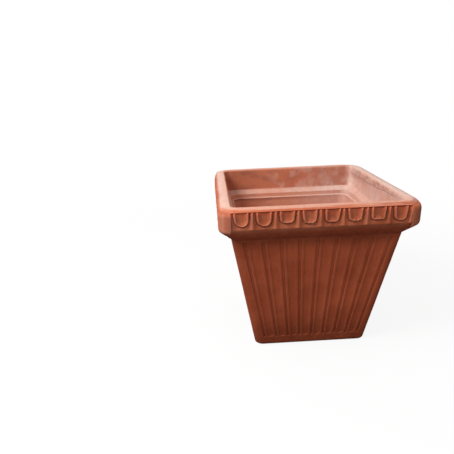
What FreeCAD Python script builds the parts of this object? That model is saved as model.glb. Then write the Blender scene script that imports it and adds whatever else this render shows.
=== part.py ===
import FreeCAD, Part
import os

from FreeCAD import Placement, Rotation, Vector
from Sketcher import Constraint

# A square terracotta planter, pressed from clay slabs that are luted together at the corners
# and round the neck: one floor, four reeded walls and four lengths of moulded rim.
# The origin is the middle of the underside, +Z is up and the front faces -Y.

doc = FreeCAD.newDocument("planter")

# name of the size, its value in millimetres (counts are plain numbers), what it measures
drivingSizes = [
    ("potHeight", 347, "from the ground to the top of the rim"),
    ("rimWidth", 400, "across the rim, outside"),
    ("rimHeight", 70, "from the seam at the neck to the top of the rim"),
    ("rimOverhang", 26, "how far the rim stands out past the neck"),
    ("rimCorner", 28, "plan radius of the rim's outer corners"),
    ("rimThickness", 28, "width of the rim's flat top"),
    ("rimEdge", 9, "rounding of the rim's top outer edge"),
    ("mouthEdge", 3, "bevel of the rim's top inner edge"),
    ("mouthCorner", 14, "plan radius of the mouth's corners"),
    ("bandHeight", 42, "height of the rim's upright face, down from the top"),
    ("hemDrop", 6, "height of the rounded hem under that face"),
    ("hemInset", 2.6, "how far the hem draws in before the cove"),
    ("footWidth", 252, "across the foot"),
    ("bodyCorner", 16, "radius of the body's outside corners"),
    ("footEdge", 4, "bevel of the foot's lower edge"),
    ("wallThickness", 24, "thickness of a wall, measured level"),
    ("wellCorner", 18, "radius of the inside corners"),
    ("floorThickness", 22, "thickness of the floor"),
    ("drainHole", 30, "diameter of the drain hole"),
    ("ledgeDepth", 55, "from the top of the rim down to the back of the ledge inside it"),
    ("ledgeFall", 7, "how far the ledge falls to its lip"),
    ("ledgeWidth", 14, "width of the ledge"),
    ("ledgeCorner", 18, "plan radius of the ledge's lip"),
    ("lipHeight", 4, "height of the rim's lip over the frieze"),
    ("blockWidth", 25, "width of the plain block at each end of the frieze"),
    ("friezeDepth", 3.2, "depth of the recess that holds the frieze"),
    ("tongueCount", 8, "number of tongues on each side"),
    ("tongueWidth", 27, "width of a tongue"),
    ("tongueLength", 29, "from under the lip to a tongue's rounded tip"),
    ("tongueHeight", 3, "how far a tongue stands out of the recess"),
    ("tongueRim", 2.6, "width of a tongue's raised rim"),
    ("tongueDish", 1.8, "depth of the dish inside that rim"),
    ("dartTop", 4, "width of a dart under the lip"),
    ("dartFoot", 9, "width of a dart at its foot"),
    ("dartLength", 33, "from under the lip to a dart's foot"),
    ("dartHeight", 2, "how far a dart stands out of the recess"),
    ("panelCount", 8, "number of sunk panels on each wall"),
    ("panelDepth", 1.3, "depth of a panel"),
    ("panelFoot", 24, "height of a panel's lower end, up the face"),
    ("cornerStrip", 24.5, "from a wall's outer edge to the middle of its last flute"),
    ("fluteDepth", 2.2, "depth of the flute between two reeds"),
    ("overrun", 10, "how far a cut runs past the clay"),
]

sizes = doc.addObject("Spreadsheet::Sheet", "sizes")
for row, (alias, value, meaning) in enumerate(drivingSizes, 1):
    sizes.set(f"A{row}", meaning)
    sizes.set(f"B{row}", str(value))
    sizes.setAlias(f"B{row}", alias)
doc.recompute()

# What follows from the driving sizes, as expressions that the document keeps up to date
neckHeight = "(sizes.potHeight - sizes.rimHeight)"
bandBottom = "(sizes.potHeight - sizes.bandHeight)"
ledgeBack = "(sizes.potHeight - sizes.ledgeDepth)"
ledgeLip = f"({ledgeBack} - sizes.ledgeFall)"
friezeTop = "(sizes.potHeight - sizes.lipHeight)"
rimHalf = "(sizes.rimWidth / 2)"
neckHalf = f"({rimHalf} - sizes.rimOverhang)"
footHalf = "(sizes.footWidth / 2)"
mouthHalf = f"({rimHalf} - sizes.rimThickness)"
ledgeHalf = f"({mouthHalf} - sizes.ledgeWidth)"
throatHalf = f"({neckHalf} - sizes.wallThickness)"
wellHalf = f"({footHalf} - sizes.wallThickness)"
lean = f"({neckHalf} - {footHalf})"
floorShare = f"(sizes.floorThickness / {neckHeight})"
floorHalf = f"({wellHalf} + {lean} * {floorShare})"
faceLength = f"sqrt({neckHeight} ^ 2 + {lean} ^ 2)"
friezeFloor = f"({rimHalf} - sizes.friezeDepth)"
friezeHalf = f"({rimHalf} - sizes.blockWidth)"
tonguePitch = f"(2 * {friezeHalf} / sizes.tongueCount)"
panelFootHalf = f"({footHalf} + {lean} * sizes.panelFoot / {faceLength})"
panelPitchLow = f"(2 * ({panelFootHalf} - sizes.cornerStrip) / sizes.panelCount)"
panelPitchHigh = f"(2 * ({neckHalf} - sizes.cornerStrip) / sizes.panelCount)"

# How wide a panel and a flute are, as shares of the distance from one panel to the next
panelShare = 0.51
fluteShare = 0.195

# The hem's rounding, as shares of its drop and its inset, from the cove up to the upright face
hemShares = [(1, 1), (0.5, 0.22), (0, 0)]

# Two lengths this near to each other, in millimetres, count as one when edges are picked
slack = 0.01


def valueOf(expression):
    """The number that an expression has now."""
    return float(sizes.evalExpression(expression))


def originPlane(body, role):
    """One of the body's own origin planes."""
    for feature in body.Origin.OriginFeatures:
        if feature.Role == role:
            return feature
    raise ValueError(role)


def newBody(label):
    """An empty body with the label that names its file."""
    body = doc.addObject("PartDesign::Body", label)
    body.Label = label
    return body


def newSketch(body, name, role, offset, tilt=None):
    """A sketch on an origin plane, moved along its normal and, if asked, tipped about its X axis."""
    sketch = body.newObject("Sketcher::SketchObject", f"{body.Name}_{name}")
    sketch.AttachmentSupport = [(originPlane(body, role), "")]
    sketch.MapMode = "FlatFace"
    if tilt:
        sketch.AttachmentOffset = Placement(Vector(), Rotation(Vector(1, 0, 0), valueOf(tilt)))
        sketch.setExpression("AttachmentOffset.Rotation.Angle", tilt)
    sketch.setExpression("AttachmentOffset.Base.z", offset)
    return sketch


def bindPoint(sketch, edge, end, x, y):
    """Ties one end of a sketch edge to two expressions, its places along and up the sketch."""
    for kind, expression in (("DistanceX", x), ("DistanceY", y)):
        index = sketch.addConstraint(Constraint(kind, -1, 1, edge, end, valueOf(expression)))
        sketch.setExpression(f"Constraints[{index}]", expression)


def drawOutline(sketch, corners, arcs=None):
    """A closed outline through corners given as expressions. arcs maps an edge's number to the
    expressions of its centre and its radius; those edges run anticlockwise."""
    arcs = arcs or {}
    points = [Vector(valueOf(x), valueOf(y), 0) for x, y in corners]
    first = sketch.GeometryCount
    for number, start in enumerate(points):
        end = points[(number + 1) % len(points)]
        if number in arcs:
            centre = Vector(valueOf(arcs[number][0]), valueOf(arcs[number][1]), 0)
            circle = Part.Circle(centre, Vector(0, 0, 1), valueOf(arcs[number][2]))
            sketch.addGeometry(Part.ArcOfCircle(circle, circle.parameter(start), circle.parameter(end)))
        else:
            sketch.addGeometry(Part.LineSegment(start, end))
    for number, (x, y) in enumerate(corners):
        before = first + (number - 1) % len(corners)
        sketch.addConstraint(Constraint("Coincident", before, 2, first + number, 1))
        bindPoint(sketch, first + number, 1, x, y)
    for number, arc in arcs.items():
        index = sketch.addConstraint(Constraint("Radius", first + number, valueOf(arc[2])))
        sketch.setExpression(f"Constraints[{index}]", arc[2])


def drawRoundedSquare(sketch, half, corner):
    """The whole plan of a rounded square."""
    inner = f"({half} - {corner})"
    outer = f"({half})"
    corners = [(f"-{outer}", f"-{inner}"), (f"-{inner}", f"-{outer}"), (inner, f"-{outer}"),
               (outer, f"-{inner}"), (outer, inner), (inner, outer), (f"-{inner}", outer),
               (f"-{outer}", inner)]
    arcs = {0: (f"-{inner}", f"-{inner}", corner), 2: (inner, f"-{inner}", corner),
            4: (inner, inner, corner), 6: (f"-{inner}", inner, corner)}
    drawOutline(sketch, corners, arcs)


def addFrustum(body, kind, name, low, high, lowHalf, highHalf):
    """A leaning square block, added or cut, between two heights, with a half width at each."""
    block = body.newObject(f"PartDesign::{kind}Wedge", f"{body.Name}_{name}")
    block.AttachmentSupport = [(originPlane(body, "XY_Plane"), "")]
    block.MapMode = "FlatFace"
    block.AttachmentOffset = Placement(Vector(), Rotation(Vector(1, 0, 0), 90))
    block.setExpression("Ymin", low)
    block.setExpression("Ymax", high)
    for axis in "XZ":
        block.setExpression(f"{axis}min", f"-({lowHalf})")
        block.setExpression(f"{axis}max", lowHalf)
        block.setExpression(f"{axis}2min", f"-({highHalf})")
        block.setExpression(f"{axis}2max", highHalf)
    doc.recompute()
    return block


def addLoft(body, kind, name, sections):
    """A ruled loft, added or cut, through rounded squares: (height, half width, corner radius)."""
    sketches = []
    for number, (height, half, corner) in enumerate(sections):
        sketch = newSketch(body, f"{name}_plan{number}", "XY_Plane", height)
        drawRoundedSquare(sketch, half, corner)
        sketches.append(sketch)
    loft = body.newObject(f"PartDesign::{kind}Loft", f"{body.Name}_{name}")
    loft.Profile = sketches[0]
    loft.Sections = sketches[1:]
    loft.Ruled = True
    doc.recompute()
    return loft


def addPad(body, name, sketch, length):
    """A pad of a sketch along its normal."""
    pad = body.newObject("PartDesign::Pad", f"{body.Name}_{name}")
    pad.Profile = sketch
    pad.setExpression("Length", length)
    return pad


def addPocket(body, name, sketch, depth):
    """A pocket cut from a sketch against its normal."""
    pocket = body.newObject("PartDesign::Pocket", f"{body.Name}_{name}")
    pocket.Profile = sketch
    pocket.setExpression("Length", depth)
    return pocket


def dressEdges(body, kind, name, amount, wanted):
    """Rounds or bevels, by kind Fillet or Chamfer, the edges of the body's tip that the test picks."""
    doc.recompute()
    base = body.Tip
    names = [f"Edge{number}" for number, edge in enumerate(base.Shape.Edges, 1) if wanted(edge)]
    feature = body.newObject(f"PartDesign::{kind}", f"{body.Name}_{name}")
    feature.Base = (base, names)
    feature.setExpression({"Fillet": "Radius", "Chamfer": "Size"}[kind], amount)
    doc.recompute()
    return feature


def middleOf(edge):
    """The point halfway along an edge."""
    return edge.valueAt((edge.FirstParameter + edge.LastParameter) / 2)


def isMitred(edge):
    """Whether an edge climbs along a corner's diagonal."""
    middle = middleOf(edge)
    climbs = edge.BoundBox.ZMax - edge.BoundBox.ZMin > slack
    return climbs and abs(abs(middle.x) - abs(middle.y)) < slack


def levelEdges(height, near, far):
    """A test that picks level edges at a height, between two distances from the axis."""
    level = valueOf(height)
    nearest = valueOf(near) - slack
    furthest = valueOf(far) + slack

    def test(edge):
        box = edge.BoundBox
        flat = abs(box.ZMin - level) < slack and abs(box.ZMax - level) < slack
        middle = middleOf(edge)
        return flat and nearest < max(abs(middle.x), abs(middle.y)) < furthest
    return test


def cutMitres(body):
    """Cuts the block down to its front quarter, between the two mitres."""
    sketch = newSketch(body, "mitrePlan", "XY_Plane", "sizes.potHeight + sizes.overrun")
    reach = f"({rimHalf} + sizes.overrun)"
    drawOutline(sketch, [("0", "0"), (reach, f"-{reach}"), (reach, reach), (f"-{reach}", reach),
                         (f"-{reach}", f"-{reach}")])
    addPocket(body, "mitres", sketch, "sizes.potHeight + 2 * sizes.overrun")


def makeFloor():
    """The floor slab, which fills the well of the four walls, with its drain hole."""
    body = newBody("floor")
    addFrustum(body, "Additive", "slab", "0", "sizes.floorThickness", wellHalf, floorHalf)
    dressEdges(body, "Fillet", "corners", "sizes.wellCorner", isMitred)
    sketch = newSketch(body, "hole", "XY_Plane", "sizes.floorThickness + sizes.overrun")
    radius = "sizes.drainHole / 2"
    circle = sketch.addGeometry(Part.Circle(Vector(), Vector(0, 0, 1), valueOf(radius)))
    sketch.addConstraint(Constraint("Coincident", circle, 3, -1, 1))
    index = sketch.addConstraint(Constraint("Radius", circle, valueOf(radius)))
    sketch.setExpression(f"Constraints[{index}]", radius)
    addPocket(body, "drain", sketch, "sizes.floorThickness + 2 * sizes.overrun")
    return body


def drawStrips(sketch, count, widthShare):
    """Upright strips side by side, drawn in towards the foot, each a share of the pitch wide."""
    foot = "sizes.panelFoot"
    top = f"{faceLength} + sizes.overrun"
    for number in range(count):
        place = number - (count - 1) / 2
        left = place - widthShare / 2
        right = place + widthShare / 2
        drawOutline(sketch, [
            (f"{left} * {panelPitchLow}", foot), (f"{right} * {panelPitchLow}", foot),
            (f"{right} * {panelPitchHigh}", top), (f"{left} * {panelPitchHigh}", top),
        ])


def makeWall(side, angle):
    """One wall: a leaning slab between two mitres, with panels sunk between pairs of reeds."""
    body = newBody(f"wall_{side}")
    addFrustum(body, "Additive", "slab", "0", neckHeight, footHalf, neckHalf)
    dressEdges(body, "Fillet", "corners", "sizes.bodyCorner", isMitred)
    addFrustum(body, "Subtractive", "well", "0", neckHeight, wellHalf, throatHalf)
    dressEdges(body, "Fillet", "wellCorners", "sizes.wellCorner", isMitred)
    middleHalf = f"({footHalf} - sizes.wallThickness / 2)"
    dressEdges(body, "Chamfer", "foot", "sizes.footEdge", levelEdges("0", middleHalf, footHalf))
    cutMitres(body)
    panels = int(valueOf("sizes.panelCount"))
    tilt = f"atan({lean} / {neckHeight})"
    sunk = newSketch(body, "panels", "XZ_Plane", footHalf, tilt)
    drawStrips(sunk, panels, panelShare)
    addPocket(body, "sunk", sunk, "sizes.panelDepth")
    flutes = newSketch(body, "flutes", "XZ_Plane", footHalf, tilt)
    drawStrips(flutes, panels + 1, fluteShare)
    addPocket(body, "fluted", flutes, "sizes.fluteDepth")
    body.Placement = Placement(Vector(), Rotation(Vector(0, 0, 1), angle))
    return body


def drawTongue(sketch, place, half, top, bottom):
    """A tongue: straight sides down to a half round tip."""
    left = f"({place} - {half})"
    right = f"({place} + {half})"
    waist = f"({bottom} + {half})"
    corners = [(left, top), (left, waist), (place, bottom), (right, waist), (right, top)]
    drawOutline(sketch, corners, {1: (place, waist, half), 2: (place, waist, half)})


def addRow(body, name, originals, count):
    """Repeats features along the frieze, one pitch apart."""
    row = body.newObject("PartDesign::LinearPattern", f"{body.Name}_{name}")
    row.Originals = originals
    row.Direction = (originPlane(body, "X_Axis"), [""])
    row.setExpression("Length", f"{tonguePitch} * ({count} - 1)")
    row.setExpression("Occurrences", count)
    body.Tip = row
    return row


def makeRim(side, angle):
    """One length of rim: an overhanging band between two mitres, with a ledge inside it and a
    recessed frieze of tongues and darts outside."""
    body = newBody(f"rim_{side}")
    sections = [(neckHeight, neckHalf, "sizes.bodyCorner")]
    for dropShare, insetShare in hemShares:
        inset = f"sizes.hemInset * {insetShare}"
        sections.append((f"{bandBottom} - sizes.hemDrop * {dropShare}", f"({rimHalf} - {inset})",
                         f"(sizes.rimCorner - {inset})"))
    addLoft(body, "Additive", "cove", sections)
    band = newSketch(body, "bandPlan", "XY_Plane", bandBottom)
    drawRoundedSquare(band, rimHalf, "sizes.rimCorner")
    addPad(body, "band", band, "sizes.bandHeight")
    dressEdges(body, "Fillet", "lip", "sizes.rimEdge", levelEdges("sizes.potHeight", mouthHalf, rimHalf))
    addLoft(body, "Subtractive", "throat", [
        (neckHeight, throatHalf, "sizes.wellCorner"),
        (ledgeLip, ledgeHalf, "sizes.ledgeCorner"),
        (ledgeBack, mouthHalf, "sizes.mouthCorner"),
    ])
    mouth = newSketch(body, "mouthPlan", "XY_Plane", "sizes.potHeight")
    drawRoundedSquare(mouth, mouthHalf, "sizes.mouthCorner")
    addPocket(body, "mouth", mouth, "sizes.ledgeDepth")
    dressEdges(body, "Chamfer", "mouthEdge", "sizes.mouthEdge", levelEdges("sizes.potHeight", "0", mouthHalf))
    cutMitres(body)

    recess = newSketch(body, "recessFace", "XZ_Plane", rimHalf)
    low = f"{neckHeight} - sizes.overrun"
    drawOutline(recess, [(f"-{friezeHalf}", low), (friezeHalf, low), (friezeHalf, friezeTop),
                         (f"-{friezeHalf}", friezeTop)])
    addPocket(body, "recess", recess, "sizes.friezeDepth")

    place = f"({tonguePitch} / 2 - {friezeHalf})"
    tip = f"({friezeTop} - sizes.tongueLength)"
    face = newSketch(body, "tongueFace", "XZ_Plane", friezeFloor)
    drawTongue(face, place, "(sizes.tongueWidth / 2)", friezeTop, tip)
    tongue = addPad(body, "tongue", face, "sizes.tongueHeight")
    bowl = newSketch(body, "dishFace", "XZ_Plane", f"{friezeFloor} + sizes.tongueHeight")
    drawTongue(bowl, place, "(sizes.tongueWidth / 2 - sizes.tongueRim)", friezeTop,
               f"({tip} + sizes.tongueRim)")
    dish = addPocket(body, "dish", bowl, "sizes.tongueDish")
    addRow(body, "tongues", [tongue, dish], "sizes.tongueCount")

    gap = f"({place} + {tonguePitch} / 2)"
    foot = f"({friezeTop} - sizes.dartLength)"
    spear = newSketch(body, "dartFace", "XZ_Plane", friezeFloor)
    drawOutline(spear, [
        (f"{gap} - sizes.dartFoot / 2", foot),
        (f"{gap} + sizes.dartFoot / 2", foot),
        (f"{gap} + sizes.dartTop / 2", friezeTop),
        (f"{gap} - sizes.dartTop / 2", friezeTop),
    ])
    dart = addPad(body, "dart", spear, "sizes.dartHeight")
    addRow(body, "darts", [dart], "sizes.tongueCount - 1")
    body.Placement = Placement(Vector(), Rotation(Vector(0, 0, 1), angle))
    return body


pieces = [makeFloor()]
sides = ["front", "right", "back", "left"]
for turn, side in enumerate(sides):
    angle = 360 / len(sides) * turn
    pieces.append(makeWall(side, angle))
    pieces.append(makeRim(side, angle))
doc.recompute()

for item in doc.Objects:
    if "Invalid" in item.State or "Error" in item.State:
        raise RuntimeError(f"{item.Name} failed: {item.State}")
for piece in pieces:
    if piece.Shape.isNull() or not piece.Shape.isValid():
        raise RuntimeError(f"{piece.Label} has no valid shape")

os.makedirs("parts", exist_ok=True)
for piece in pieces:
    piece.Shape.exportStep(f"parts/{piece.Label}.step")
    print(piece.Label, round(piece.Shape.Volume), "mm3")
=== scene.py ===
import math
import random

import bmesh
import bpy
from mathutils import Matrix, Vector, noise


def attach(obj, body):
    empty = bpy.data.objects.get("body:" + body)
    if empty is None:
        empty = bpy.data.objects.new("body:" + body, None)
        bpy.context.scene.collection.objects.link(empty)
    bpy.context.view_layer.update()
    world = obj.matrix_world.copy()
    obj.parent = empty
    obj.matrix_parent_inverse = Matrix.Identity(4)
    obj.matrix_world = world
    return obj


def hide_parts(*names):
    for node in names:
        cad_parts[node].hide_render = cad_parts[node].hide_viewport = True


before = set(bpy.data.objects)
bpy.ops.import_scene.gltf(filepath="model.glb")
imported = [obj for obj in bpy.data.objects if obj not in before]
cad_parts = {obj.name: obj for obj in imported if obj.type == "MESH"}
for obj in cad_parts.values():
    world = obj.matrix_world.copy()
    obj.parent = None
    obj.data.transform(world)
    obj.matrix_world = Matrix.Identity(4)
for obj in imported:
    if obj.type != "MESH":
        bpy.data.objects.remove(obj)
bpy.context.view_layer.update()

# A square planter of reeded terracotta. Each slab of clay is a bmesh grid laid round its own
# section, pressed into shape row by row. Sizes are in millimetres until a piece is finished.
# A pair of numbers in brackets says where something starts to show and where it shows in full.
mm = 0.001
sides = ["front", "right", "back", "left"]

pot = {
    "top": 347, "neck": 277,                                                    # heights
    "rimHalf": 200, "neckHalf": 174, "footHalf": 126,                           # half widths outside
    "mouthHalf": 172, "ledgeHalf": 158, "throatHalf": 154.6, "wellHalf": 102,   # and inside
    "innerSeamUpTo": 160,                                                       # half width
    "bodyCorner": 16, "rimCorner": 28, "mouthCorner": 14, "wellCorner": 18,     # radii in plan
    "waviness": 0.45, "wavinessSize": 75,                                       # of hand-pressed slabs
    "fingerMarks": 0.16, "fingerMarksSize": 17,
}

# the foot was set down a little to the right of the rim, and inside, below the mouth, the clay
# was pushed outward at the back right corner
askew = {
    "foot": 2.7, "straightAbove": 259, "footFrom": 110, "footReach": (102, 121),
    "inside": 4.5, "insideTop": (338, 312), "insideFoot": (180, 268),
    "insideAcross": (60, 165), "insideDepth": (0, 80),
}

# each kind of unevenness has a seed of its own
seeds = {
    "waves": 1, "fingers": 2, "reeds": 3, "well": 4, "throat": 5, "rimTop": 6, "floor": 8,
    "crack": 9, "fineCrack": 10, "crumbs": 11, "fineCrumbs": 12, "drift": 13,
    "smears": 14, "fineSmears": 15,
}


def fade(value, low, high):
    share = min(max((value - low) / (high - low), 0), 1)  # 0 at low, 1 at high, smooth between
    return share * share * (3 - 2 * share)


def mix(first, second, share):
    return first + (second - first) * share


def ripple(x, y, z, size, seed):
    return noise.noise(Vector((x / size + seed, y / size - seed, z / size + 2.3 * seed)))


def handMade(place):
    # slow waves of the slab and the smaller marks of fingers
    waves = pot["waviness"] * ripple(*place, pot["wavinessSize"], seeds["waves"])
    return waves + pot["fingerMarks"] * ripple(*place, pot["fingerMarksSize"], seeds["fingers"])


def isInnerSeam(zone, half):
    return zone == "seam" and half < pot["innerSeamUpTo"]


def isInside(zone, half):
    return zone in ("mouth", "ledge", "throat", "inner") or isInnerSeam(zone, half)


def towardsCorner(place, half):
    return min(abs(place.x), abs(place.y)) / half  # 1 on the mitre


# a fine crack that wanders along the inner face of the right rim, with painted shade in it and dirt above it
crack = {
    "row": 337, "band": 2,                            # the row of the grid that follows it, those beside it
    "stillAbove": 341, "stillBelow": 294,             # rows that far away stay where they are
    "low": 328.4, "falls": (-130, 65), "rises": (166, 148),
    "starts": (-140, -105), "ends": (162, 137),
    "wander": 1.9, "wanderSize": 26, "waver": 0.5, "waverSize": 7,
    # painted shade in the crack: how dark, and how far it reaches beside it
    "width": 0.6, "depth": 0.9, "dark": 0.9, "darkReach": 1.5,
    "dirt": 0.4, "dirtAbove": (0, 1.5), "dirtBelowEdge": (347, 345), "crumbLevels": (-0.45, 0.5),
    "crumbSize": 9, "fineCrumbs": 0.4, "fineCrumbSize": 4,
    "leastDrift": 0.45, "driftSize": 40, "driftLevels": (-0.2, 0.25),
}


def crackReach(y):
    return fade(y, *crack["starts"]) * fade(y, *crack["ends"])


def crackCourse(y):
    return mix(crack["row"], crack["low"], fade(y, *crack["falls"]) * fade(y, *crack["rises"]))


def crackHeight(y):
    wander = crack["wander"] * ripple(0, y, 0, crack["wanderSize"], seeds["crack"])
    return crackCourse(y) + wander + crack["waver"] * ripple(0, y, 0, crack["waverSize"], seeds["fineCrack"])


def alongCrack(height, y):
    # rows of the mouth slide down or up the wall, so that the dense ones follow the crack
    course, band = crackCourse(y), crack["band"]
    top, bottom = crack["stillAbove"], crack["stillBelow"]
    if not bottom < height < top:
        return height
    above, below = crack["row"] + band, crack["row"] - band
    if height > above:
        return mix(course + band, top, (height - above) / (top - above))
    if height < below:
        return mix(bottom, course - band, (height - bottom) / (below - bottom))
    return height + course - crack["row"]


def crackShadeAndDirt(y, height):
    # painted shade in the crack, crumbs of dirt between it and the edge
    above = height - crackHeight(y)
    line = crack["dark"] * max(0, 1 - abs(above) / (crack["darkReach"] * crack["width"]))
    crumbs = ripple(0, y, height, crack["crumbSize"], seeds["crumbs"])
    crumbs += crack["fineCrumbs"] * ripple(0, y, height, crack["fineCrumbSize"], seeds["fineCrumbs"])
    drift = fade(ripple(0, y, 0, crack["driftSize"], seeds["drift"]), *crack["driftLevels"])
    dirt = crack["dirt"] * fade(crumbs, *crack["crumbLevels"]) * mix(crack["leastDrift"], 1, drift)
    dirt = dirt * fade(above, *crack["dirtAbove"]) * fade(height, *crack["dirtBelowEdge"])
    return max(line, dirt) * crackReach(y)


# where the clay is darker: towards the foot, at the body's corners, on the outer edge of the left side's lip and
# across the mouth's back; a stain on the right end of the rim and dirt above the crack; painted shade under the
# rim, in the cove, in the crack, at the left end of the mouth's back and round the throat's edge, and a painted
# contact shadow at the ground
stainsAndShade = {
    "foot": 0.53, "footHeights": (130, 0), "ground": 0.4, "contactShadowHeights": (8, 0),
    "corner": 0.5, "cornerReach": (0.85, 1.0), "neck": 0.40, "neckShadeHeights": (245, 277),
    "cove": 0.50, "coveShadeHeights": (305, 291), "lip": 0.16, "lipAcross": (-191, -197),
    "rightEnd": 0.42, "rightEndAcross": (120, 165), "rightEndSlant": 0.2, "rightEndDepth": (60, -120),
    "crackAcross": (168, 170), "mouthBack": (100, 165), "leftRimShadow": 0.22, "leftRimShadowAcross": (-60, -140),
    "mouthRight": 0.13, "mouthRightFrom": (40, 110), "mouthRightTo": (168, 155),
    "throat": 0.12, "throatHalf": (153.4, 154.4),
    "well": 0.5, "wellHeights": (267, 271), "wellAcross": (190, -60),
}


def sootAndShadeAt(place, half, zone):
    if zone in ("outer", "foot") or (zone == "seam" and not isInnerSeam(zone, half)):
        # darker at the body's corners and towards the foot, and painted shade under the rim's overhang at the
        # neck
        corner = stainsAndShade["corner"] * fade(towardsCorner(place, half), *stainsAndShade["cornerReach"])
        foot = stainsAndShade["foot"] * fade(place.z, *stainsAndShade["footHeights"])
        neck = stainsAndShade["neck"] * fade(place.z, *stainsAndShade["neckShadeHeights"])
        # and a painted contact shadow where the foot meets the ground
        return max(foot, corner, neck) + stainsAndShade["ground"] * fade(place.z, *stainsAndShade["contactShadowHeights"])
    # painted shade in the cove, which faces down under the hem
    coveShade = stainsAndShade["cove"] * fade(place.z, *stainsAndShade["coveShadeHeights"])
    if zone == "cove":
        return coveShade
    if zone == "face":
        # on the face, the stain at the right end, and the cove's painted shade at the hem
        across = place.x + place.y * stainsAndShade["rightEndSlant"]
        atRight = stainsAndShade["rightEnd"] * fade(across, *stainsAndShade["rightEndAcross"])
        return max(coveShade, atRight * fade(place.y, *stainsAndShade["rightEndDepth"]))
    if zone == "lip":
        return stainsAndShade["lip"] * fade(place.x, *stainsAndShade["lipAcross"])
    if zone == "mouth":
        # the crack's painted shade, with dirt above it
        onRight = fade(place.x, *stainsAndShade["crackAcross"]) * crackShadeAndDirt(place.y, place.z)
        # on the back, painted shade from the left rim at its left end, and a darker band further right
        onBack = stainsAndShade["leftRimShadow"] * fade(place.x, *stainsAndShade["leftRimShadowAcross"])
        between = fade(place.x, *stainsAndShade["mouthRightTo"])
        onBack += stainsAndShade["mouthRight"] * fade(place.x, *stainsAndShade["mouthRightFrom"]) * between
        return onRight + onBack * fade(place.y, *stainsAndShade["mouthBack"])
    if zone in ("throat", "seam"):
        # painted shade on the band above the throat's edge
        return stainsAndShade["throat"] * fade(half, *stainsAndShade["throatHalf"])
    if zone == "inner":
        # painted shade under the throat's edge, more to the left
        return stainsAndShade["well"] * fade(place.z, *stainsAndShade["wellHeights"]) * fade(place.x, *stainsAndShade["wellAcross"])
    return 0


# a redder tint painted as the colour of shade: in the cove and just under the lip's edge, away from the corners
redInShade = {
    "cove": 0.8, "coveShadeHeights": (305, 291),
    "lip": 0.6, "lipHeights": (328, 341.5), "lipHalf": (195, 199), "awayFromCorner": (186, 172),
}


def shadeRedTintAt(place, half, zone):
    if zone not in ("cove", "face", "lip"):
        return 0
    awayFromCorner = fade(min(abs(place.x), abs(place.y)), *redInShade["awayFromCorner"])
    nearLip = redInShade["lip"] * fade(place.z, *redInShade["lipHeights"]) * fade(half, *redInShade["lipHalf"])
    return max(redInShade["cove"] * fade(place.z, *redInShade["coveShadeHeights"]), nearLip * awayFromCorner)


# lime that has come out of the clay: inside, more to the right, most in the corners and low down; along the
# throat's edge, lime with a painted highlight
limeAndEdgeHighlight = {
    "leftBlock": 0.11, "leftBlockAcross": (-160, -184), "leftBlockDepth": (-150, -185),
    "rightBlock": 0.06, "rightBlockAcross": (165, 182), "rightBlockDepth": (60, -120),
    "top": 0.06, "topLeft": 0.50, "topRight": 0.72, "topAcross": (166, 178), "topDepth": (-196, -150),
    "lipHalf": (199, 190), "rightward": (-120, 150),
    "mouth": 0.05, "mouthAlong": 0.20, "mouthAcross": (10, 120),
    "mouthRight": 0.48, "mouthRightAcross": (166, 171),
    "mouthCorner": 0.42, "backCornerFrom": 0.88, "rightCornerFrom": 0.66,
    "mouthLevels": (0.8, 1.1), "mouthHeights": (325, 292),
    "smears": 0.34, "smearLevels": (-0.12, 0.4), "smearSize": 24, "fineSmears": 0.45, "fineSmearSize": 8,
    "smearsFrom": (-70, -20), "smearsTo": (172, 150), "smearsDepth": (150, 170),
    "ledge": 0.52, "ledgeRight": 0.28, "ledgeCorner": 0.15, "ledgeCornerReach": (0.66, 1.0),
    "throat": 0.15, "throatRight": 0.22, "throatEnd": 0.3, "throatEndAcross": (140, 157),
    "edgeHalf": (153.7, 152.7), "edgeHighlightLevels": (0.3, 0.82), "edgeAcross": (-158, -20),
    "well": 0.10, "wellRight": 0.35, "wellHeights": (50, 250),
}


def smearsAt(place):
    patches = ripple(*place, limeAndEdgeHighlight["smearSize"], seeds["smears"])
    patches += limeAndEdgeHighlight["fineSmears"] * ripple(*place, limeAndEdgeHighlight["fineSmearSize"], seeds["fineSmears"])
    amount = limeAndEdgeHighlight["smears"] * fade(place.x, *limeAndEdgeHighlight["smearsFrom"]) * fade(place.x, *limeAndEdgeHighlight["smearsTo"])
    return fade(patches, *limeAndEdgeHighlight["smearLevels"]) * (amount * fade(place.y, *limeAndEdgeHighlight["smearsDepth"]))


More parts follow.
